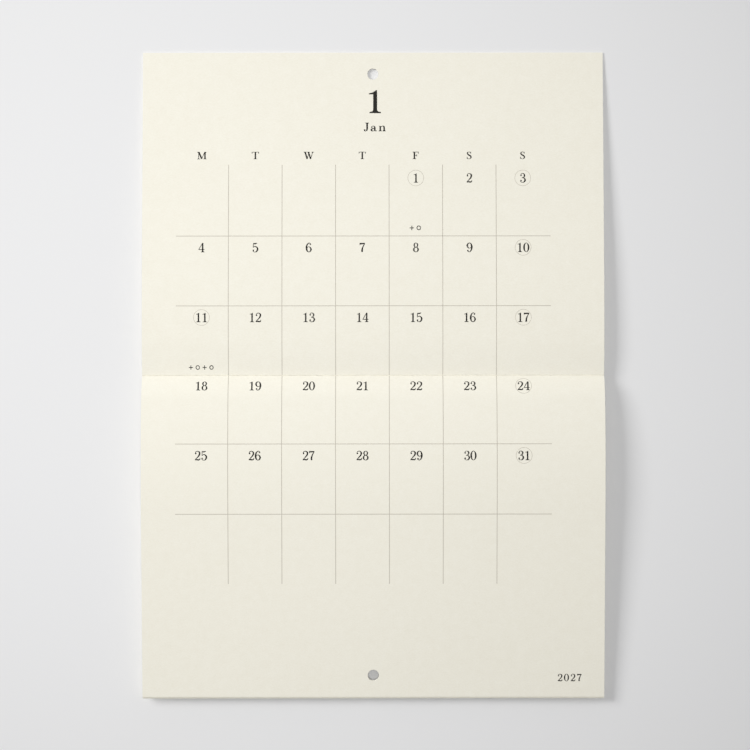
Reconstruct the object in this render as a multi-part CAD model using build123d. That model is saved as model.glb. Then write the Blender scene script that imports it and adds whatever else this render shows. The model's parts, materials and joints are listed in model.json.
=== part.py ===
from build123d import *
import os
from math import cos, pi, radians, sin

# A centre-stapled paper wall calendar, hung open at its first spread.
# Millimetres. +X is right, +Y goes into the wall, +Z is up. The origin is the centre of the hang hole,
# on the back of the leaf that hangs. The front cover is turned up and carries the hang hole, and the
# inner leaves and the back cover hang below the fold.

# Paper
page_width = 297.0
leaf_height = 210.0  # from the fold line to the cut edge
inner_leaves = 12
leaf_thickness = 0.14  # with the film of air that lies between leaves
cover_thickness = 0.22

# Punched holes
hole_diameter = 7.2
hole_inset = 14.0  # cut edge to hole centre

# How the two halves bow. A lean is in degrees towards the viewer, along the way from the fold to the
# cut edge, and each bend is (length along the front of the sheet, lean at its end).
upper_lean = 10.0
upper_bends = [(26.0, 0.0), (60.0, -3.5)]
lower_lean = 40.0
lower_bends = [(3.5, 27.0), (13.5, 7.5), (41.0, 0.0), (30.0, -3.9)]
fold_gap = 0.3  # the strip of cover that flexes, left open between the two halves

# Wire staples
staple_spacing = 148.5
staple_crown = 12.0
staple_tip = 5.0
staple_wire = 0.55
staple_bend = 0.45  # radius at the middle of the wire
crown_bite = 0.06  # how far the crown is pressed into the cover
wire_clearance = 0.03

block_thickness = inner_leaves * leaf_thickness
spine_radius = block_thickness / 2
UP, DOWN = 1, -1


def wallward(lean, rise):
    """Unit normal, towards the wall, of a sheet that leaves the fold up or down with that lean."""
    return Vector(cos(radians(lean)), rise * sin(radians(lean)))


def along(lean, rise):
    """Unit direction, away from the fold, of a sheet with that lean."""
    return Vector(-sin(radians(lean)), rise * cos(radians(lean)))


def bowed_face(start, rise, lean, bends, length, depth):
    """Edges, in the YZ section, of the face that lies depth behind the front of a bowed sheet.

    Each bend is an arc about the same centre at every depth. The face runs straight after its last
    bend until it is length long, so leaves on the inside of the bends reach further down.
    """
    edges = []
    front = start
    for run, end_lean in bends:
        radius = run / radians(lean - end_lean)
        centre = front + wallward(lean, rise) * radius
        leans = (lean, (lean + end_lean) / 2, end_lean)
        edges.append(ThreePointArc(*[centre - wallward(a, rise) * (radius - depth) for a in leans]))
        front = centre - wallward(end_lean, rise) * radius
        lean = end_lean
    rest = length - sum(edge.length for edge in edges)
    back = front + wallward(lean, rise) * depth
    edges.append(Line(back, back + along(lean, rise) * rest))
    return edges


def sheet(front_edges, back_edges, end_cap=None):
    """Solid between two faces of the section, as wide as the page."""
    first, last = front_edges[0] @ 0, front_edges[-1] @ 1
    cap = end_cap or Line(back_edges[0] @ 0, first)
    outline = [*front_edges, Line(last, back_edges[-1] @ 1), *back_edges, cap]
    section = Plane.YZ * make_face(outline)
    return extrude(section, amount=page_width / 2, both=True)


def hole_punch(centre, lean, rise):
    """Punch square through a sheet with that lean, at a centre given in the YZ section."""
    reach = 20 * (block_thickness + cover_thickness)
    square = wallward(lean, rise)
    plane = Plane(origin=(0, centre.X, centre.Y), z_dir=(0, square.X, square.Y))
    return plane * Cylinder(hole_diameter / 2, reach)


def staple(x, wire_radius, tip):
    """Closed staple: crown outside the spine, legs through the folds, tips turned in at the centre."""
    crown_height = spine_radius + cover_thickness + staple_wire / 2 - crown_bite
    seat = -staple_wire / 2
    half = staple_crown / 2
    route = [
        (tip - half, seat),
        (-half, seat),
        (-half, crown_height),
        (half, crown_height),
        (half, seat),
        (half - tip, seat),
    ]
    out = -along(lower_lean, DOWN)
    plane = Plane(
        origin=(x, spine_centre.X, spine_centre.Y), x_dir=(1, 0, 0), z_dir=(0, -out.Y, out.X)
    )
    path = plane * FilletPolyline(*route, radius=staple_bend)
    start = Plane(origin=path @ 0, z_dir=path % 0)
    return sweep(start * Circle(wire_radius), path=path)


# The upper leaf is laid out from a fold at zero, and everything is then moved so that the back of the
# leaf at its hang hole is the origin.
quarter_spine = (spine_radius + cover_thickness) * pi / 2
upper_length = leaf_height - spine_radius  # the fold takes up half of the block's thickness
page_length = leaf_height - quarter_spine  # every leaf is cut flush with the cover that wraps it
hang_lean = upper_bends[-1][1]
low_lean = lower_bends[-1][1]
to_hole = upper_length - hole_inset
hang_front = bowed_face(Vector(0, 0), UP, upper_lean, upper_bends, to_hole, 0)[-1] @ 1
hang_hole = Vector(0, 0)
fold = hang_hole - hang_front - wallward(hang_lean, UP) * cover_thickness

# Front cover, turned up: a single leaf that hangs from its hole.
strip = along(upper_lean, UP) * fold_gap
upper_faces = [
    bowed_face(fold + strip, UP, upper_lean, upper_bends, upper_length - fold_gap, depth)
    for depth in (0, cover_thickness)
]
front_cover = sheet(*upper_faces) - hole_punch(hang_hole, hang_lean, UP)

# Inner leaves: folded sheets nested in one block with a round spine.
spine_centre = fold + wallward(lower_lean, DOWN) * spine_radius
spine_top = spine_centre - along(lower_lean, DOWN) * spine_radius
block_faces = [
    bowed_face(fold, DOWN, lower_lean, lower_bends, page_length, depth)
    for depth in (0, block_thickness)
]
spine_round = ThreePointArc(block_faces[1][0] @ 0, spine_top, fold)
page_block = sheet(*block_faces, end_cap=spine_round)


def back_cover_face(depth):
    """One face of the back cover: round the spine from its top, then down behind the block."""
    leans = (-90, (lower_lean - 90) / 2, lower_lean)
    arc = ThreePointArc(*[spine_centre + wallward(a, DOWN) * (depth - spine_radius) for a in leans])
    below = bowed_face(fold, DOWN, lower_lean, lower_bends, page_length, depth)
    return [arc, *below]


cover_depths = (block_thickness, block_thickness + cover_thickness)
back_cover = sheet(*[back_cover_face(depth) for depth in cover_depths])

low_front = block_faces[0][-1]
low_hole = low_front @ 1 - along(low_lean, DOWN) * hole_inset
page_block -= hole_punch(low_hole, low_lean, DOWN)
back_cover -= hole_punch(low_hole, low_lean, DOWN)

# Two staples through the fold of every sheet.
nodes = {"front_cover": front_cover, "page_block": page_block, "back_cover": back_cover}
for side, name in ((-1, "staple_left"), (1, "staple_right")):
    x = side * staple_spacing / 2
    nodes[name] = staple(x, staple_wire / 2, staple_tip)
    channel = staple(x, staple_wire / 2 + wire_clearance, staple_tip + wire_clearance)
    nodes["page_block"] -= channel
    nodes["back_cover"] -= channel

os.makedirs("parts", exist_ok=True)
for name, shape in nodes.items():
    export_step(shape, f"parts/{name}.step")

low_middle = low_hole + wallward(low_lean, DOWN) * (block_thickness + cover_thickness) / 2
for what, point in (("fold", fold), ("middle of the low hole", low_middle)):
    print(f"{what}: y {point.X:.4f}, z {point.Y:.4f}")
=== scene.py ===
# A centre-stapled paper wall calendar, hung open at its first month on a painted wall.
# Shapes are worked out in millimetres, and a mesh turns them into metres.

import json
from math import atan2, pi

import bpy
import numpy as np
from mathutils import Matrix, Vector
from mathutils.geometry import delaunay_2d_cdt


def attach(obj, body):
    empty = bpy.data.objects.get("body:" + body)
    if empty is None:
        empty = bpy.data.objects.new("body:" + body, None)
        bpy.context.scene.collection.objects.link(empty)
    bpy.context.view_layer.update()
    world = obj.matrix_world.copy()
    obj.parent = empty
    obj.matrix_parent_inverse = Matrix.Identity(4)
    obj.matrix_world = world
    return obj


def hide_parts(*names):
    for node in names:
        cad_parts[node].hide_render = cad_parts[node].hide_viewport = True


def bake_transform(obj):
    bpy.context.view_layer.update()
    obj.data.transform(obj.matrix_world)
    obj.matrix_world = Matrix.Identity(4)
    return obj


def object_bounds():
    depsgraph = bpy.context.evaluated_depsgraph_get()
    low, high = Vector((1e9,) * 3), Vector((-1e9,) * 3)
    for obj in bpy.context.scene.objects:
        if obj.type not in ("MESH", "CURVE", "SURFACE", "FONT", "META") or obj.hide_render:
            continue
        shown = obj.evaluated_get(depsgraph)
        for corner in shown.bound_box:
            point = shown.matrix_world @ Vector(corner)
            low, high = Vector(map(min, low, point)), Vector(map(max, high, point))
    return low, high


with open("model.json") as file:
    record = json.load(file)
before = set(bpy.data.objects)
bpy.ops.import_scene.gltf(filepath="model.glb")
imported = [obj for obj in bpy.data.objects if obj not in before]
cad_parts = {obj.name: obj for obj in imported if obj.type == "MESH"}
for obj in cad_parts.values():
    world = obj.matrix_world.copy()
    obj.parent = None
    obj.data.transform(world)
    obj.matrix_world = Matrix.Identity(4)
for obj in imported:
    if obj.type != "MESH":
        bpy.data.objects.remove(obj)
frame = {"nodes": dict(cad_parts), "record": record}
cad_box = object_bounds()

# ---------------------------------------------------------------------------------------- Camera
# A long lens held level, square on to the wall and as high as the middle of the calendar. It is rolled
# to the right, but hardly so.
wall_y = 1.7  # the wall's face, behind the hang hole
middle = [(lo + hi) / 2 * 1000 for lo, hi in zip(*cad_box)]
camera_distance = 1358.7  # from the wall
camera_right = 1.2
camera_roll = 0.05  # degrees

camera_data = bpy.data.cameras.new("camera")
camera_data.sensor_width = 36.0
camera_data.lens = 100.8
camera_data.clip_end = 20.0
camera = bpy.data.objects.new("camera", camera_data)
camera.location = (camera_right / 1000, (wall_y - camera_distance) / 1000, middle[2] / 1000)
camera.rotation_euler = (pi / 2, np.radians(camera_roll), 0.0)
bpy.context.scene.collection.objects.link(camera)
bpy.context.scene.camera = camera
bpy.context.scene.view_settings.view_transform = "Standard"

# ----------------------------------------------------------------------------------- Inner leaves
# Twelve leaves of uncoated book paper: six sheets folded in half and nested in each other. They are
# punched near the cut edge, hang below the fold, and bow out over their own round spine.
page_width = 297.0
leaf_height = 210.0
sheets = 6
leaf_pitch = 0.14  # paper and the film of air behind it
leaf_paper = 0.11
cover_paper = 0.22
hole_radius = 3.6
hole_inset = 14.0  # cut edge to hole centre
lower_lean = 40.0  # degrees towards the viewer, along the way from the fold to the cut edge
lower_bends = [(3.5, 27.0), (13.5, 7.5), (41.0, 0.0), (30.0, -3.9)]  # (length, lean at its end)
path_spare = 3.0  # leaves on the inside of the bends run further along the front page's path
cut_scatter = 0.03  # how unevenly the sheets' edges are cut
width_scatter = 0.0002  # share of the width by which one sheet differs from the next

block = 2 * sheets * leaf_pitch
spine_radius = block / 2
page_length = leaf_height - (spine_radius + cover_paper) * pi / 2
hinge = next(joint for joint in frame["record"]["behaviour"]["joints"] if joint["name"] == "cover_fold")
fold = 1000 * np.array(hinge["pos_m"][1:])


def normal(heading):
    """Across a path seen from the side: a quarter turn to the left of its heading. A heading of zero is
    straight up and grows towards the wall, so the path runs along (sin, cos) in (y, z)."""
    return np.stack([-np.cos(heading), np.sin(heading)], axis=-1)


def bowed(start, lean, bends, length, heading_of, step=0.05):
    """Path of a leaf's front face from the fold to its cut edge. The lean changes evenly with the run
    along each bend, and the place is the running sum of steps along the heading, which heading_of
    gives for a lean."""
    run = np.append(np.arange(0.0, length, step), length)
    knots = np.cumsum([0.0] + [bend[0] for bend in bends])
    heading = heading_of(np.interp(run, knots, np.radians([lean] + [bend[1] for bend in bends])))
    half_way = (heading[1:] + heading[:-1]) / 2
    steps = np.diff(run)[:, None] * np.stack([np.sin(half_way), np.cos(half_way)], axis=-1)
    return start + np.vstack([np.zeros(2), np.cumsum(steps, axis=0)]), heading


def arc(centre, radius, first, last, stations=40):
    """Round part of a path: the centre plus the radius times the path's normal, as the heading turns
    from first to last. A negative radius turns it the other way."""
    heading = np.linspace(first, last, stations)
    return centre + radius * normal(heading), heading


def path(*stretches):
    """Joins stretches end to end, and measures the run along them as the sum of their chords."""
    places = np.vstack([stretch[0] for stretch in stretches])
    heading = np.concatenate([stretch[1] for stretch in stretches])
    steps = np.linalg.norm(np.diff(places, axis=0), axis=1)
    keep = np.append(True, steps > 1e-6)
    return np.append(0.0, np.cumsum(steps))[keep], places[keep], heading[keep]


def ends_at(stretch, length):
    """The stretch cut off, or run on straight, where its own length reaches the given one."""
    places, heading = stretch
    run = np.append(0.0, np.cumsum(np.linalg.norm(np.diff(places, axis=0), axis=1)))
    inside = run < min(length, run[-1])
    last = places[inside][-1] + (length - run[inside][-1]) * np.array(
        [np.sin(heading[inside][-1]), np.cos(heading[inside][-1])]
    )
    return np.vstack([places[inside], last]), np.append(heading[inside], heading[inside][-1])


def rows_along(line, first, last, turn=3.0, longest=10.0):
    """Stations along a path, closer together where it bends: each spans the same share of a turn in
    degrees plus the same share of a longest step."""
    run, _, heading = line
    shares = np.abs(np.diff(heading)) / np.radians(turn) + np.diff(run) / longest
    share = np.append(0.0, np.cumsum(shares))
    ends = np.interp([first, last], run, share)
    count = int(np.ceil(ends[1] - ends[0]))
    return np.interp(np.linspace(*ends, max(count, 1) + 1), share, run)


def punched_sheet(rows, holes, reach=8.0, cells=8, beside=12, shares=(0.0, 0.2, 0.55)):
    """Flat layout of a sheet, as (x, run) points and faces. It is a grid of rows and columns. Round each
    hole a square window, some cells wide with more columns beside it, is filled by rings: each lies at
    its share of the way from the circle to the square, both read from the window's first corner on."""
    inner = np.linspace(-reach, reach, cells + 1)
    outer = np.linspace(-page_width / 2, -reach, beside + 1)
    columns = np.concatenate([outer[:-1], inner, -outer[-2::-1]])
    for hole in holes:
        rows = rows[np.abs(rows - hole) > reach + reach / cells]
        rows = np.sort(np.append(rows, hole + inner))
    points = np.stack(np.meshgrid(columns, rows), axis=-1).reshape(-1, 2)
    wide = len(columns)
    corner = (np.arange(len(rows) - 1)[:, None] * wide + np.arange(wide - 1)).ravel()
    faces = np.stack([corner, corner + 1, corner + wide + 1, corner + wide], axis=-1)
    centres = points[faces].mean(axis=1)
    side = np.arange(cells)
    first_corner = np.radians(225)
    for hole in holes:
        inside = (np.abs(centres[:, 0]) < reach) & (np.abs(centres[:, 1] - hole) < reach)
        faces, centres = faces[~inside], centres[~inside]
        first_row = int(np.argmin(np.abs(rows - (hole - reach))))
        low = first_row * wide + beside
        high = low + cells * wide
        square = np.concatenate(
            [low + side, low + cells + side * wide, high + cells - side, high - side * wide]
        )
        around = np.arange(4 * cells)
        turn = first_corner + 2 * pi * around / (4 * cells)
        circle = np.stack([np.cos(turn), np.sin(turn)], axis=-1) * hole_radius + (0.0, hole)
        rings = [circle + (points[square] - circle) * share for share in shares]
        numbers = [len(points) + around + 4 * cells * ring for ring in range(len(rings))] + [square]
        points = np.vstack([points, *rings])
        for near, far in zip(numbers, numbers[1:]):
            ring = np.stack([near, far, np.roll(far, -1), np.roll(near, -1)], axis=-1)
            faces = np.vstack([faces, ring])
            centres = np.vstack([centres, points[ring].mean(axis=1)])
    used, faces = np.unique(faces, return_inverse=True)
    return points[used], faces.reshape(-1, 4)


def no_wave(x, places):
    """A flat sheet has no waves."""
    return np.zeros(len(x))


def slab(flat, faces, line, near, far, wave=no_wave):
    """Bends a flat layout along a path and gives it thickness. A point stands at its run on the path, is
    lifted in y by the wave, and lies an offset along the normal, near for one face and far for the
    other. Edges that only one face uses get a wall. The whole is turned inside out if its signed volume
    is negative."""
    run, places, heading = line
    x, along = flat[:, 0], flat[:, 1]
    turn = np.interp(along, run, heading)
    on_path = np.stack([np.interp(along, run, side) for side in places.T], axis=-1)
    lifted = on_path + wave(x, on_path)[:, None] * np.array([1.0, 0.0])
    points = np.vstack([np.column_stack([x, lifted + offset * normal(turn)]) for offset in (near, far)])
    count = len(flat)
    after = np.roll(faces, -1, axis=1)
    edges = np.column_stack([faces.T.ravel(), after.T.ravel()])
    alone = ~np.isin(edges[:, 0] * count + edges[:, 1], edges[:, 1] * count + edges[:, 0])
    rim = edges[alone]
    walls = np.column_stack([rim[:, 1], rim[:, 0], rim[:, 0] + count, rim[:, 1] + count])
    solid = [faces, faces[:, ::-1] + count, walls]
    volume = sum(
        np.einsum("ij,ij->", points[part[:, 0]], np.cross(points[part[:, i]], points[part[:, i + 1]]))
        for part in solid for i in range(1, part.shape[1] - 1)
    )
    if volume < 0:
        solid = [part[:, ::-1] for part in solid]
    return points, solid


def piece(name, slabs, material, body, sharp=40.0):
    """One mesh from many slabs, in metres, that rides on a body. It is smooth but for edges that turn
    by more degrees than sharp says."""
    points, faces, count = [], [], 0
    for slab_points, slab_faces in slabs:
        points.append(slab_points)
        faces += [(part + count).tolist() for part in slab_faces]
        count += len(slab_points)
    mesh = bpy.data.meshes.new(name)
    mesh.from_pydata((np.vstack(points) / 1000).tolist(), [], [face for part in faces for face in part])
    mesh.polygons.foreach_set("use_smooth", np.ones(len(mesh.polygons), dtype=bool))
    mesh.set_sharp_from_angle(angle=np.radians(sharp))
    mesh.materials.append(material)
    made = bpy.data.objects.new(name, mesh)
    bpy.context.scene.collection.objects.link(made)
    if body:
        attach(made, body)
    return made


def linear(colour):
    """The linear colour of an sRGB hex value, by the standard's own curve."""
    parts = np.array([int(colour[i:i + 2], 16) for i in (1, 3, 5)]) / 255
    bright = np.where(parts <= 0.04045, parts / 12.92, ((parts + 0.055) / 1.055) ** 2.4)
    return (*bright.tolist(), 1.0)


def add_node(material, kind, settings=(), inputs=(), links=()):
    """Adds a node to a material or a world. Settings are its own properties, inputs are the values of
    its sockets, and links join its sockets to (node, output)."""
    node = material.node_tree.nodes.new(kind)
    for name, value in dict(settings).items():
        setattr(node, name, value)
    for name, value in dict(inputs).items():
        node.inputs[name].default_value = value
    for name, (source, output) in dict(links).items():
        material.node_tree.links.new(source.outputs[output], node.inputs[name])
    return node


def new_material(name):
    """An empty material, its output node and the Object coordinates that its patterns read."""
    material = bpy.data.materials.new(name)
    material.use_nodes = True
    material.node_tree.nodes.clear()
    output = material.node_tree.nodes.new("ShaderNodeOutputMaterial")
    place = add_node(material, "ShaderNodeTexCoord")
    return material, output, place


def finish_material(material, output, shader):
    """Puts the shader on the surface."""
    material.node_tree.links.new(shader.outputs[0], output.inputs["Surface"])
    return material


def book_paper(name, pale, deep, cloud_mm, tooth_mm, tooth_depth_mm):
    """Uncoated cream paper, made on a machine with its fibres mostly across the sheet. It is matt, with
    a fine tooth and clouds in it that hardly show. The clouds are the paper's own uneven tone, and the
    tooth's hollows are painted a little darker than its fibres, which is painted shade. Real fibres
    are about 0.03 mm wide: the tooth is drawn fifteen to twenty times coarser, so that it shows."""
    material, output, place = new_material(name)
    drawn = add_node(material, "ShaderNodeMapping", inputs={"Scale": (0.45, 1.0, 1.0)},
                     links={"Vector": (place, "Object")})
    cloud = add_node(material, "ShaderNodeTexNoise",
                     inputs={"Scale": 1000 / cloud_mm, "Detail": 3.0, "Roughness": 0.55},
                     links={"Vector": (place, "Object")})
    tooth = add_node(material, "ShaderNodeTexNoise",
                     inputs={"Scale": 1000 / tooth_mm, "Detail": 4.0, "Roughness": 0.65},
                     links={"Vector": (drawn, "Vector")})
    # The clouds are the paper's own tone; mixing in the tooth paints shade into its hollows.
    both = add_node(material, "ShaderNodeMath", {"operation": "MULTIPLY_ADD"}, {1: 0.35},
                    {0: (cloud, "Fac"), 2: (tooth, "Fac")})
    cloud_tone_and_hollow_shade = add_node(material, "ShaderNodeMapRange",
                      inputs={"From Min": 0.45, "From Max": 0.9}, links={"Value": (both, "Value")})
    # Deep where the tooth is low: painted shade in the hollows, on top of the clouds' real tone.
    colour = add_node(material, "ShaderNodeMix", {"data_type": "RGBA"},
                      {"A": linear(deep), "B": linear(pale)}, {"Factor": (cloud_tone_and_hollow_shade, "Result")})
    rough = add_node(material, "ShaderNodeMapRange",
                     inputs={"To Min": 0.78, "To Max": 0.92}, links={"Value": (tooth, "Fac")})
    bump = add_node(material, "ShaderNodeBump",
                    inputs={"Strength": 0.5, "Distance": tooth_depth_mm / 1000},
                    links={"Height": (tooth, "Fac")})
    shader = add_node(material, "ShaderNodeBsdfPrincipled",
                      inputs={"IOR": 1.5, "Specular IOR Level": 0.3},
                      links={"Base Color": (colour, "Result"), "Roughness": (rough, "Result"),
                             "Normal": (bump, "Normal")})
    return finish_material(material, output, shader)


def hang(lean):
    """Heading of a path that goes down a leaf with that lean."""
    return pi + lean


def page_wave(x, places):
    """Paper is never quite flat: two long waves across the page, which fade in below the fold."""
    below = np.clip((fold[1] - places[:, 1]) / 90.0, 0.0, 1.0)
    across = 0.16 * np.sin(x / 61.0 + 0.8) + 0.10 * np.sin(x / 33.0 - places[:, 1] / 70.0)
    return across * below * below


inner_front, inner_heading = bowed(fold, lower_lean, lower_bends, page_length + path_spare, hang)
spine_centre = fold + spine_radius * normal(np.radians(180 + lower_lean))


def down_the_block(depth, length):
    """The lower half's own path at a depth behind the front page."""
    return ends_at((inner_front + depth * normal(inner_heading), inner_heading), length)


def folded_sheet(number, cut):
    """Outside of one folded sheet: up its front leaf, round the spine and down its back leaf."""
    depth = number * leaf_pitch
    front, front_heading = down_the_block(depth, page_length + cut[0])
    turn = arc(spine_centre, spine_radius - depth, np.radians(lower_lean), np.radians(180 + lower_lean))
    back = down_the_block(block - depth, page_length + cut[1])
    return path((front[::-1], front_heading[::-1] - pi), turn, back)


def hole_run(depth):
    """Where the low hole's centre lies on a leaf at that depth: the punch went square through the whole
    block, and leaves on the inside of the bends lie further from the fold."""
    lean_change = np.radians(lower_lean - lower_bends[-1][1])
    return page_length - hole_inset - depth * lean_change


page_paper = book_paper("uncoated_book_paper", "#F4F1E4", "#EEEADB", 5.0, 0.5, 0.025)
random = np.random.default_rng(12)
leaf_slabs = []
for number in range(sheets):
    cut = random.normal(0.0, cut_scatter, 2)
    front_length, back_length = page_length + cut
    line = folded_sheet(number, cut)
    total = line[0][-1]
    depth = number * leaf_pitch
    holes = [front_length - hole_run(depth), total - back_length + hole_run(block - depth)]
    flat, faces = punched_sheet(rows_along(line, 0.0, total), holes)
    flat = flat * (1.0 + random.normal(0.0, width_scatter), 1.0)
    leaf_slabs.append(slab(flat, faces, line, 0.0, -leaf_paper, page_wave))
    if number == 0:
        front_page, front_page_fold = line, front_length
inner = piece("inner_leaves", leaf_slabs, page_paper, "pages")
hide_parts("page_block")

# ------------------------------------------------------------------------------------ Cover sheet
# One folded sheet of heavier cream paper that wraps the leaves. Its front leaf is turned up and hangs
# from its punched hole, and the sheet goes back over the spine and down behind the leaves.
upper_lean = 10.0  # degrees towards the viewer, along the way from the fold to the cut edge
upper_bends = [(26.0, 0.0), (60.0, -3.5)]  # (length, lean at its end)
upper_length = leaf_height - spine_radius
flex_radius = 0.24  # the tight turn where the sheet folds back, measured on its front face
spine_gap = 0.01  # between the cover and the outermost leaf


def lift(lean):
    """Heading of a path that goes up a leaf with that lean."""
    return -lean


upper_front, upper_heading = bowed(fold, upper_lean, upper_bends, upper_length, lift)
upper_run = np.append(0.0, np.cumsum(np.linalg.norm(np.diff(upper_front, axis=0), axis=1)))
wrap_radius = spine_radius + spine_gap
# The turn's centre lies its radius behind the leaf. The first one that is clear of the spine touches it.
flex_centres = upper_front + flex_radius * normal(upper_heading + pi)
clear = np.linalg.norm(flex_centres - spine_centre, axis=1) >= wrap_radius + flex_radius
flex_start = upper_run[clear][0]
leaf_down = upper_front[clear][::-1], upper_heading[clear][::-1] + pi
flex_centre = flex_centres[clear][0]
towards_flex = (flex_centre - spine_centre) / np.linalg.norm(flex_centre - spine_centre)
meeting = atan2(towards_flex[1], -towards_flex[0])
flex = arc(flex_centre, -flex_radius, leaf_down[1][-1], meeting)
wrap = arc(spine_centre, wrap_radius, meeting, np.radians(180 + lower_lean))
cover_line = path(leaf_down, flex, wrap, down_the_block(block + spine_gap, page_length))


def cover_wave(x, places):
    """The same kind of long waves in the cover sheet, weaker in the leaf that hangs from its hole."""
    away = np.clip(np.abs(places[:, 1] - fold[1]) / 90.0, 0.0, 1.0)
    upper = 0.10 * np.sin(x / 57.0 - 0.6) + 0.06 * np.sin(x / 29.0 + places[:, 1] / 55.0)
    return np.where(places[:, 1] > fold[1], upper * away * away, page_wave(x, places))


cover_stock = book_paper("uncoated_cover_paper", "#F4F1E4", "#EEEADB", 6.0, 0.6, 0.03)
cover_total = cover_line[0][-1]
back_hole = cover_total - page_length + hole_run(block + spine_gap)
flat, faces = punched_sheet(rows_along(cover_line, 0.0, cover_total), [hole_inset, back_hole])
cover_slab = slab(flat, faces, cover_line, 0.0, cover_paper, cover_wave)
cover = piece("cover_sheet", [cover_slab], cover_stock, None)
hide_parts("front_cover", "back_cover")
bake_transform(cover)

# ---------------------------------------------------------------------------------------- Staples
# Two staples of galvanised steel wire, driven from outside the spine and clinched at the centre fold.
# Each is a CAD part and keeps its shape: only its finish is made here.


def galvanised_wire():
    """Drawn steel wire with a thin zinc coat: a soft grey shine, with fine lines along the draw. Real
    draw lines are a few hundredths of a millimetre apart, and these are a little coarser to show."""
    material, output, place = new_material("galvanised_steel_wire")
    lines = add_node(material, "ShaderNodeMapping", inputs={"Scale": (0.12, 1.0, 1.0)},
                     links={"Vector": (place, "Object")})
    draw = add_node(material, "ShaderNodeTexNoise", inputs={"Scale": 1000 / 0.08, "Detail": 2.0},
                    links={"Vector": (lines, "Vector")})
    spangle = add_node(material, "ShaderNodeTexNoise", inputs={"Scale": 1000 / 0.6, "Detail": 1.0},
                       links={"Vector": (place, "Object")})
    colour = add_node(material, "ShaderNodeMix", {"data_type": "RGBA"},
                      {"A": linear("#C9CCCE"), "B": linear("#A9ACAE")}, {"Factor": (spangle, "Fac")})
    rough = add_node(material, "ShaderNodeMapRange", inputs={"To Min": 0.25, "To Max": 0.5},
                     links={"Value": (draw, "Fac")})
    bump = add_node(material, "ShaderNodeBump", inputs={"Strength": 0.4, "Distance": 0.00002},
                    links={"Height": (draw, "Fac")})
    shader = add_node(material, "ShaderNodeBsdfPrincipled", inputs={"Metallic": 1.0},
                      links={"Base Color": (colour, "Result"), "Roughness": (rough, "Result"),
                             "Normal": (bump, "Normal")})
    return finish_material(material, output, shader)


wire = galvanised_wire()
for name in ("staple_left", "staple_right"):
    staple = frame["nodes"][name]
    for material_slot in staple.material_slots:
        material_slot.material = wire

# ----------------------------------------------------------------------------------------- Print
# The month is printed in offset ink: near-black figures and initials, a grid of grey hairlines, and grey
# rings round the days of rest. The ink is a thin film on each half of the calendar.
ink_height = 0.02  # how far a film stands out of the paper; it goes as deep below the surface
column_pitch = 34.45
row_pitch = 45.0
first_rule = -93.0
rules_left, rules_right = -126.7, 114.2
hairline = 0.42
print_slice = 0.1  # share of a sign's height between the cuts that let it follow the bow
ink_gain = 0.014  # share of a sign's height that the ink spreads beyond a drawn stroke


def smooth(points, closed=False, steps=6):
    """Catmull-Rom curve: between two points, the cubic that leaves each along the line that joins its
    neighbours. It carries x, y and the width together."""
    points = np.array(points, dtype=float)
    if closed:
        points = np.vstack([points[-1], points, points[:2]])
    else:
        points = np.vstack([2 * points[0] - points[1], points, 2 * points[-1] - points[-2]])
    t = np.linspace(0.0, 1.0, steps, endpoint=False)[:, None]
    parts = []
    for a, b, c, d in zip(points, points[1:], points[2:], points[3:]):
        parts.append(b + t * (c - a) / 2 + t**2 * (2 * a - 5 * b + 4 * c - d) / 2
                     + t**3 * (3 * b - a - 3 * c + d) / 2)
    parts.append(points[-2][None])
    return np.vstack(parts)


def pen(*points, closed=False):
    """A stroke of a broad pen as four-sided steps: its edges lie half the width to each side of the
    smooth line through the points, square to the travel."""
    line = smooth(points, closed)
    travel = np.gradient(line[:, :2], axis=0)
    if closed:
        travel[0] = travel[-1] = line[1, :2] - line[-2, :2]
    travel /= np.linalg.norm(travel, axis=1)[:, None]
    side = np.stack([-travel[:, 1], travel[:, 0]], axis=-1) * (line[:, 2:] + ink_gain) / 2
    left, right = line[:, :2] + side, line[:, :2] - side
    return [np.array(step) for step in zip(right, right[1:], left[1:], left)]


def oval(x, y, wide, high, side, top):
    """A round letter's bowl: an ellipse drawn by a pen that is widest at its two sides."""
    turn = np.linspace(0.0, 2 * pi, 12, endpoint=False)
    width = top + (side - top) * np.cos(turn) ** 2
    return pen(*zip(x + wide * np.cos(turn), y + high * np.sin(turn), width), closed=True)


def ball(x, y, radius=0.078):
    """A round terminal: a circle of sixteen sides."""
    turn = np.linspace(0.0, 2 * pi, 16, endpoint=False)
    return [np.stack([x + radius * np.cos(turn), y + radius * np.sin(turn)], axis=-1)]


def foot(x, y=0.0, half=0.17, stem=0.13, up=1.0):
    """A bracketed serif: a thin slab whose top curves up into the stem. With up at -1 it hangs, and its
    outline is taken the other way round."""
    outline = [(-half, 0.0), (half, 0.0), (half, 0.05), (stem / 2 + 0.045, 0.075), (stem / 2, 0.15),
               (-stem / 2, 0.15), (-stem / 2 - 0.045, 0.075), (-half, 0.05)]
    return [np.array([(x + across, y + up * height) for across, height in outline][::int(up)])]


def bar(x0, y0, x1, y1, width, end_width=None):
    """A straight stroke between two points, which may taper."""
    return pen((x0, y0, width), ((x0 + x1) / 2, (y0 + y1) / 2, (width + (end_width or width)) / 2),
               (x1, y1, end_width or width))


def figure_six():
    """The six, which is also the nine when it is turned upside down."""
    return ball(0.47, 0.84) + pen(
        (0.50, 0.86, 0.06), (0.43, 0.95, 0.06), (0.33, 0.975, 0.06), (0.18, 0.85, 0.10),
        (0.095, 0.60, 0.14), (0.095, 0.36, 0.15), (0.17, 0.12, 0.10), (0.31, 0.025, 0.06),
        (0.46, 0.10, 0.10), (0.53, 0.30, 0.14), (0.46, 0.50, 0.10), (0.33, 0.585, 0.05),
        (0.20, 0.53, 0.05), (0.12, 0.42, 0.05))


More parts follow.
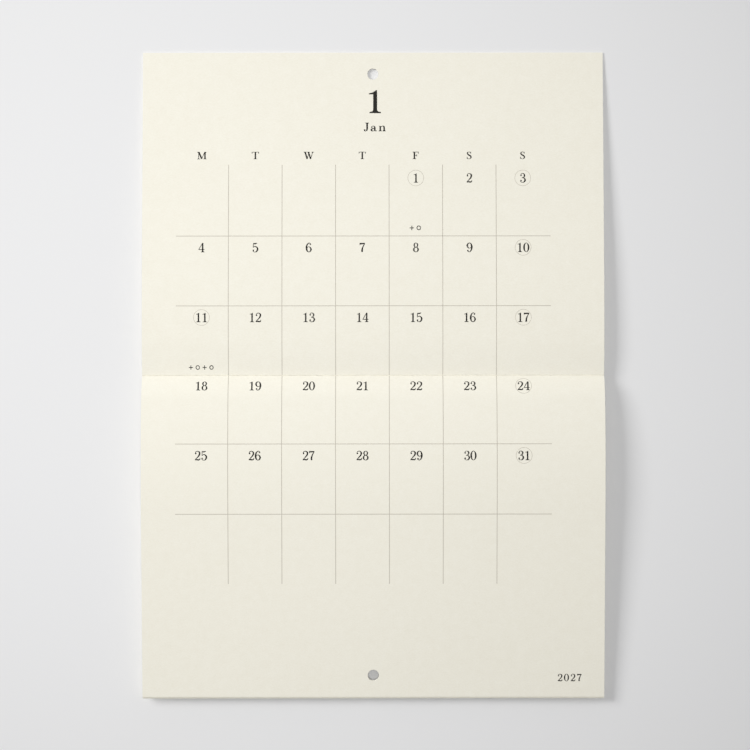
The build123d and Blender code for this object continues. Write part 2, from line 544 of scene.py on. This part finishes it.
# Each sign is drawn one unit high: its width, and its strokes, whose numbers are shares of that height.
signs = {
    "0": (0.62, oval(0.31, 0.5, 0.225, 0.475, 0.15, 0.05)),
    "1": (0.60, bar(0.32, 0.05, 0.32, 0.93, 0.13) + foot(0.32, half=0.21)
          + [np.array([(0.385, 0.90), (0.385, 1.0), (0.34, 1.0), (0.26, 0.91), (0.09, 0.86),
                       (0.09, 0.815), (0.26, 0.82)])]),
    "2": (0.60, ball(0.13, 0.73)
          + pen((0.09, 0.74, 0.05), (0.14, 0.90, 0.06), (0.30, 0.97, 0.06), (0.47, 0.88, 0.12),
                (0.51, 0.71, 0.14), (0.43, 0.50, 0.12), (0.24, 0.27, 0.07), (0.06, 0.07, 0.05))
          + pen((0.05, 0.05, 0.09), (0.18, 0.09, 0.12), (0.36, 0.065, 0.13), (0.50, 0.09, 0.10),
                (0.56, 0.25, 0.04))),
    "3": (0.60, ball(0.13, 0.77) + ball(0.13, 0.21)
          + pen((0.09, 0.78, 0.05), (0.16, 0.93, 0.05), (0.30, 0.975, 0.05), (0.45, 0.88, 0.11),
                (0.47, 0.74, 0.13), (0.39, 0.57, 0.08), (0.22, 0.525, 0.05))
          + pen((0.22, 0.525, 0.05), (0.40, 0.50, 0.08), (0.52, 0.36, 0.13), (0.52, 0.20, 0.14),
                (0.42, 0.06, 0.09), (0.27, 0.025, 0.05), (0.13, 0.07, 0.05), (0.08, 0.20, 0.05))),
    "4": (0.62, bar(0.40, 0.97, 0.04, 0.30, 0.05) + bar(0.01, 0.285, 0.59, 0.285, 0.06)
          + bar(0.42, 0.99, 0.42, 0.05, 0.13) + foot(0.42)),
    "5": (0.60, ball(0.13, 0.21) + bar(0.13, 0.96, 0.11, 0.50, 0.05)
          + pen((0.12, 0.94, 0.09), (0.30, 0.91, 0.12), (0.50, 0.98, 0.04))
          + pen((0.10, 0.50, 0.04), (0.22, 0.60, 0.06), (0.38, 0.60, 0.09), (0.52, 0.45, 0.13),
                (0.53, 0.26, 0.14), (0.43, 0.08, 0.10), (0.28, 0.025, 0.05), (0.14, 0.07, 0.05),
                (0.08, 0.20, 0.05))),
    "6": (0.62, figure_six()),
    "7": (0.60, bar(0.06, 0.99, 0.065, 0.76, 0.045) + bar(0.06, 0.90, 0.55, 0.925, 0.15, 0.12)
          + pen((0.55, 0.95, 0.06), (0.40, 0.66, 0.08), (0.29, 0.34, 0.13), (0.27, 0.02, 0.15))),
    "8": (0.62, oval(0.31, 0.755, 0.17, 0.22, 0.12, 0.05) + oval(0.31, 0.275, 0.215, 0.25, 0.14, 0.05)),
    "9": (0.62, [np.array((0.62, 1.0)) - stroke for stroke in figure_six()]),
    "M": (0.98, bar(0.15, 0.05, 0.15, 0.97, 0.055) + bar(0.81, 0.05, 0.81, 0.97, 0.14)
          + bar(0.17, 0.97, 0.47, 0.04, 0.15) + bar(0.46, 0.04, 0.77, 0.97, 0.05)
          + foot(0.15, half=0.14, stem=0.05) + foot(0.81, half=0.16)
          + foot(0.12, 1.0, 0.12, 0.08, -1.0) + foot(0.84, 1.0, 0.13, 0.12, -1.0)),
    "T": (0.76, bar(0.38, 0.05, 0.38, 0.97, 0.14) + foot(0.38, half=0.19)
          + bar(0.03, 0.965, 0.73, 0.965, 0.06)
          + bar(0.05, 0.98, 0.03, 0.74, 0.07, 0.03) + bar(0.71, 0.98, 0.73, 0.74, 0.07, 0.03)),
    "W": (1.08, bar(0.15, 0.97, 0.37, 0.02, 0.14) + bar(0.37, 0.02, 0.56, 0.90, 0.05)
          + bar(0.50, 0.97, 0.73, 0.02, 0.14) + bar(0.73, 0.02, 0.94, 0.97, 0.05)
          + foot(0.15, 1.0, 0.15, 0.12, -1.0) + foot(0.50, 1.0, 0.13, 0.12, -1.0)
          + foot(0.94, 1.0, 0.13, 0.05, -1.0)),
    "F": (0.68, bar(0.20, 0.05, 0.20, 0.97, 0.14) + foot(0.20, half=0.18)
          + foot(0.18, 1.0, 0.16, 0.14, -1.0)
          + bar(0.20, 0.965, 0.63, 0.965, 0.06) + bar(0.61, 0.98, 0.63, 0.72, 0.07, 0.03)
          + bar(0.22, 0.50, 0.44, 0.50, 0.05) + bar(0.44, 0.63, 0.44, 0.37, 0.05)),
    "S": (0.58, pen((0.46, 0.76, 0.04), (0.40, 0.91, 0.05), (0.27, 0.975, 0.06), (0.13, 0.89, 0.10),
                    (0.12, 0.72, 0.13), (0.26, 0.55, 0.16), (0.42, 0.42, 0.15), (0.48, 0.24, 0.12),
                    (0.40, 0.07, 0.08), (0.26, 0.025, 0.05), (0.13, 0.09, 0.05), (0.07, 0.28, 0.04))
          + bar(0.46, 0.98, 0.46, 0.72, 0.045) + bar(0.07, 0.02, 0.07, 0.30, 0.045)),
    "J": (0.52, pen((0.34, 0.96, 0.14), (0.34, 0.60, 0.14), (0.34, 0.26, 0.14), (0.29, 0.09, 0.10),
                    (0.17, 0.025, 0.05), (0.07, 0.08, 0.05), (0.07, 0.15, 0.05))
          + ball(0.11, 0.16, 0.08) + foot(0.34, 1.0, 0.19, 0.14, -1.0)),
    "a": (0.60, ball(0.12, 0.44, 0.065)
          + pen((0.09, 0.45, 0.05), (0.13, 0.56, 0.05), (0.25, 0.61, 0.05), (0.37, 0.54, 0.10),
                (0.40, 0.40, 0.13), (0.40, 0.16, 0.13), (0.44, 0.05, 0.09), (0.52, 0.03, 0.05),
                (0.59, 0.08, 0.04))
          + pen((0.38, 0.36, 0.05), (0.22, 0.32, 0.08), (0.09, 0.22, 0.13), (0.10, 0.09, 0.12),
                (0.20, 0.03, 0.08), (0.31, 0.07, 0.05), (0.39, 0.16, 0.04))),
    "n": (0.74, bar(0.17, 0.05, 0.17, 0.58, 0.13) + foot(0.17, half=0.15)
          + bar(0.04, 0.60, 0.18, 0.60, 0.04)
          + bar(0.53, 0.05, 0.53, 0.42, 0.13) + foot(0.53, half=0.15)
          + pen((0.20, 0.46, 0.04), (0.28, 0.57, 0.05), (0.40, 0.61, 0.08), (0.51, 0.54, 0.12),
                (0.53, 0.40, 0.13))),
    "+": (0.90, bar(0.45, 0.06, 0.45, 0.94, 0.14) + bar(0.03, 0.5, 0.87, 0.5, 0.14)),
    "o": (0.90, oval(0.45, 0.5, 0.35, 0.38, 0.14, 0.14)),
}


def united(strokes):
    """One flat patch from overlapping strokes: their triangulation with cuts at equal heights, of which
    the triangles that lie in at least one stroke are kept."""
    points = np.vstack(strokes)
    ends = np.cumsum([len(stroke) for stroke in strokes])
    loops = [list(range(end - len(stroke), end)) for stroke, end in zip(strokes, ends)]
    low, high = points.min(axis=0) - 0.01, points.max(axis=0) + 0.01
    cuts = np.arange(np.ceil(low[1] / print_slice), high[1] / print_slice) * print_slice
    cut_ends = np.array([(side, cut) for cut in cuts for side in (low[0], high[0])]).reshape(-1, 2)
    edges = [(len(points) + 2 * i, len(points) + 2 * i + 1) for i in range(len(cuts))]
    everything = [Vector(point) for point in np.vstack([points, cut_ends]).tolist()]
    places, _, faces, _, _, sources = delaunay_2d_cdt(everything, edges, loops, 0, 1e-5, True)
    kept = np.array([face for face, source in zip(faces, sources) if source])
    used, kept = np.unique(kept, return_inverse=True)
    return np.array([tuple(place) for place in places])[used], kept.reshape(-1, 3)


drawn_signs = {sign: (width, *united(strokes)) for sign, (width, strokes) in signs.items()}


def word(text, x, height, spacing, stretch):
    """Flat layout of a line of signs centred at x, with its middle height at a run of zero. Each sign is
    scaled to the height, stretched in width, and set after the last one with the spacing between."""
    widths = [drawn_signs[sign][0] + spacing for sign in text]
    wide = height * stretch
    left = x - (sum(widths) - spacing) * wide / 2
    made = []
    for sign, width in zip(text, widths):
        _, points, faces = drawn_signs[sign]
        made.append((points * (wide, -height) + (left, height / 2), faces))
        left += width * wide
    return made


def ring(x, run, radius, width, steps=60):
    """Flat layout of a ring of equal steps round its centre."""
    turn = np.linspace(0.0, 2 * pi, steps, endpoint=False)
    circle = np.stack([np.cos(turn), np.sin(turn)], axis=-1)
    points = np.vstack([circle * (radius - width / 2), circle * (radius + width / 2)]) + (x, run)
    number = np.arange(steps)
    after = np.roll(number, -1)
    return points, np.stack([number, number + steps, after + steps, after], axis=-1)


def upright_rule(line, x, first, last, width):
    """Flat layout of a line down the page, in steps that follow the bow."""
    rows = rows_along(line, first, last, longest=5.0)
    points = np.stack(np.meshgrid([x - width / 2, x + width / 2], rows), axis=-1).reshape(-1, 2)
    low = 2 * np.arange(len(rows) - 1)
    return points, np.stack([low, low + 1, low + 3, low + 2], axis=-1)


def level_rule(x0, x1, run, width, steps=20):
    """Flat layout of a line across the page, in steps that follow the waves."""
    places = np.linspace(x0, x1, steps + 1)
    points = np.stack(np.meshgrid(places, [run - width / 2, run + width / 2]), axis=-1).reshape(-1, 2)
    low = np.arange(steps)
    high = low + steps + 1
    return points, np.stack([low, low + 1, high + 1, high], axis=-1)


def offset_ink(name, thick, thin):
    """Offset ink on uncoated paper: it soaks in, so it is matt and a little uneven in tone."""
    material, output, place = new_material(name)
    mottle = add_node(material, "ShaderNodeTexNoise", inputs={"Scale": 1000 / 0.5, "Detail": 3.0},
                      links={"Vector": (place, "Object")})
    colour = add_node(material, "ShaderNodeMix", {"data_type": "RGBA"},
                      {"A": linear(thick), "B": linear(thin)}, {"Factor": (mottle, "Fac")})
    rough = add_node(material, "ShaderNodeMapRange", inputs={"To Min": 0.6, "To Max": 0.8},
                     links={"Value": (mottle, "Fac")})
    bump = add_node(material, "ShaderNodeBump", inputs={"Strength": 0.3, "Distance": 0.00001},
                    links={"Height": (mottle, "Fac")})
    shader = add_node(material, "ShaderNodeBsdfPrincipled",
                      inputs={"IOR": 1.5, "Specular IOR Level": 0.3},
                      links={"Base Color": (colour, "Result"), "Roughness": (rough, "Result"),
                             "Normal": (bump, "Normal")})
    return finish_material(material, output, shader)


# The two printed pages are one month. Heights are measured along the paper from the fold, up as plus.
columns = first_rule + column_pitch * (np.arange(7) - 0.5)
grid_top, grid_bottom = 3 * row_pitch, -3 * row_pitch
overhang = 1.2  # how far the upright rules stand above the top row
figure_height = 6.05
figure_drop = 7.45  # from a row's top to the middle of its figures
ring_radius = 5.1
ring_line = 0.26
first_column = 4  # the month begins on a Friday
ringed = {1, 3, 10, 11, 17, 24, 31}

figures = {"upper": [], "lower": []}  # (text, x, height, size, spacing, stretch)
rings = {"upper": [], "lower": []}  # (x, height) of each centre
for day in range(1, 32):
    row, column = divmod(first_column + day - 1, 7)
    height = grid_top - row * row_pitch - figure_drop
    half = "upper" if height > 0 else "lower"
    figures[half].append((str(day), columns[column], height, figure_height, 0.03, 1.08))
    if day in ringed:
        rings[half].append((columns[column], height))
for x, initial in zip(columns, "MTWTFSS"):
    figures["upper"].append((initial, x, 142.2, 4.75, 0.0, 1.3))
figures["upper"] += [
    ("1", 1.1, 177.2, 15.0, 0.0, 1.18),
    ("Jan", 1.3, 160.7, 5.6, 0.13, 1.25),
    # A plus and a small ring, in turn, stand where a day has a note: they mean no more than that.
    ("+o", 27.2, 95.2, 3.3, 0.45, 1.0),
    ("+o+o", -110.5, 5.4, 3.15, 0.5, 1.0),
]
figures["lower"].append(("2027", 126.2, -195.9, 4.8, 0.15, 1.14))

# Each half has its path, the fold's run on it, its waves, its body, which way it is printed along the
# path, and the heights that its upright rules reach. The cover's path goes down the page from its cut
# edge to the fold, and the front page's goes up, so there the signs and the film are turned over.
halves = {
    "upper": (cover_line, upper_length, cover_wave, "cover", 1.0, (grid_top + overhang, flex_start)),
    "lower": (front_page, front_page_fold, page_wave, "pages", -1.0, (0.0, grid_bottom)),
}
figure_ink = offset_ink("black_offset_ink", "#14120C", "#201E17")
rule_ink = offset_ink("grey_offset_ink", "#B9B3A6", "#C3BDB0")
for half, (line, fold_run, wave, body, up, reach) in halves.items():
    film = {"line": line, "near": -up * ink_height, "far": up * ink_height, "wave": wave}
    made = []
    for text, x, height, size, spacing, stretch in figures[half]:
        for points, faces in word(text, x, size, spacing, stretch):
            made.append(slab(points * (1.0, up) + (0.0, fold_run - up * height), faces, **film))
    piece(f"figures_{half}", made, figure_ink, body)
    made = []
    for x, height in rings[half]:
        made.append(slab(*ring(x, fold_run - up * height, ring_radius, ring_line), **film))
    first, last = sorted(fold_run - up * height for height in reach)
    for x in first_rule + column_pitch * np.arange(6):
        made.append(slab(*upright_rule(line, x, first, last, hairline), **film))
    for row in (1, 2):
        rule = level_rule(rules_left, rules_right, fold_run - row * row_pitch, hairline)
        made.append(slab(*rule, **film))
    piece(f"rules_{half}", made, rule_ink, body)

# ---------------------------------------------------------------------------------- Wall and light
# A plastered wall in pale emulsion paint, lit by soft daylight from the upper left. It can be seen only
# from the front, so that the calendar's back shows from behind, where a lamp of its own lights it.


def wall_paint():
    """Matt emulsion put on with a roller: nearly flat, with a fine stipple."""
    material, output, place = new_material("matt_emulsion_paint")
    stipple = add_node(material, "ShaderNodeTexNoise",
                       inputs={"Scale": 1000 / 2.5, "Detail": 3.0, "Roughness": 0.5},
                       links={"Vector": (place, "Object")})
    bump = add_node(material, "ShaderNodeBump", inputs={"Strength": 0.25, "Distance": 0.0001},
                    links={"Height": (stipple, "Fac")})
    shader = add_node(material, "ShaderNodeBsdfPrincipled",
                      inputs={"Base Color": linear("#E8E8E8"), "Roughness": 0.9,
                              "Specular IOR Level": 0.2},
                      links={"Normal": (bump, "Normal")})
    clear = add_node(material, "ShaderNodeBsdfTransparent")
    side = add_node(material, "ShaderNodeNewGeometry")
    seen = add_node(material, "ShaderNodeMixShader",
                    links={0: (side, "Backfacing"), 1: (shader, "BSDF"), 2: (clear, "BSDF")})
    return finish_material(material, output, seen)


wall_half = 1.1  # metres from its middle to its edges
wall_corners = wall_half * np.array([(-1, 0, -1), (1, 0, -1), (1, 0, 1), (-1, 0, 1)])
wall_mesh = bpy.data.meshes.new("wall")
wall_centre = (0.0, wall_y / 1000, middle[2] / 1000)
wall_mesh.from_pydata((wall_corners + wall_centre).tolist(), [], [(0, 1, 2, 3)])
wall_mesh.materials.append(wall_paint())
wall = bpy.data.objects.new("wall", wall_mesh)
bpy.context.scene.collection.objects.link(wall)


def lamp(name, kind, place, power, settings, aim=(0.0, 0.0, 0.0)):
    """A white lamp turned to its aim. Its place and its aim are metres from the calendar's middle."""
    light = bpy.data.lights.new(name, kind)
    light.energy = power
    for setting, value in settings.items():
        setattr(light, setting, value)
    made = bpy.data.objects.new(name, light)
    made.location = Vector(middle) / 1000 + Vector(place)
    made.rotation_euler = (Vector(aim) - Vector(place)).to_track_quat("-Z", "Y").to_euler()
    made.visible_camera = False
    bpy.context.scene.collection.objects.link(made)
    return made


lamp("window", "AREA", (-1.8, -1.57, 0.74), 35.4, {"size": 1.02})
lamp("room", "SPOT", (0.0, -3.0, 0.1), 187.0,
     {"spot_size": np.radians(32.0), "spot_blend": 1.0, "shadow_soft_size": 0.4}, aim=(-0.06, 0.0, 0.05))
back_lamp = lamp("back_lamp", "AREA", (-0.9, 1.5, 0.8), 44.0, {"size": 1.6})
back_lamp.data.cycles.max_bounces = 0  # its light stops at the calendar's back
lets_through = bpy.data.collections.new("lets_the_back_lamp_through")
lets_through.objects.link(wall)
lets_through.collection_objects[0].light_linking.link_state = "EXCLUDE"
back_lamp.light_linking.blocker_collection = lets_through

# The room's own light grows from the floor to the ceiling. Seen directly, it is an even pale grey.
world = bpy.data.worlds.new("pale_room")
world.use_nodes = True
air = world.node_tree.nodes["Background"]
air.inputs["Color"].default_value = linear("#F8F8FB")
towards = add_node(world, "ShaderNodeTexCoord")
upwards = add_node(world, "ShaderNodeSeparateXYZ", links={"Vector": (towards, "Generated")})
gradient = add_node(world, "ShaderNodeMapRange",
                    inputs={"From Min": -0.6, "To Min": 0.02, "To Max": 0.42},
                    links={"Value": (upwards, "Z")})
seen_air = add_node(world, "ShaderNodeLightPath")
strength = add_node(world, "ShaderNodeMix", {"data_type": "FLOAT"}, {"B": 0.75},
                    {"Factor": (seen_air, "Is Camera Ray"), "A": (gradient, "Result")})
world.node_tree.links.new(strength.outputs["Result"], air.inputs["Strength"])
bpy.context.scene.world = world
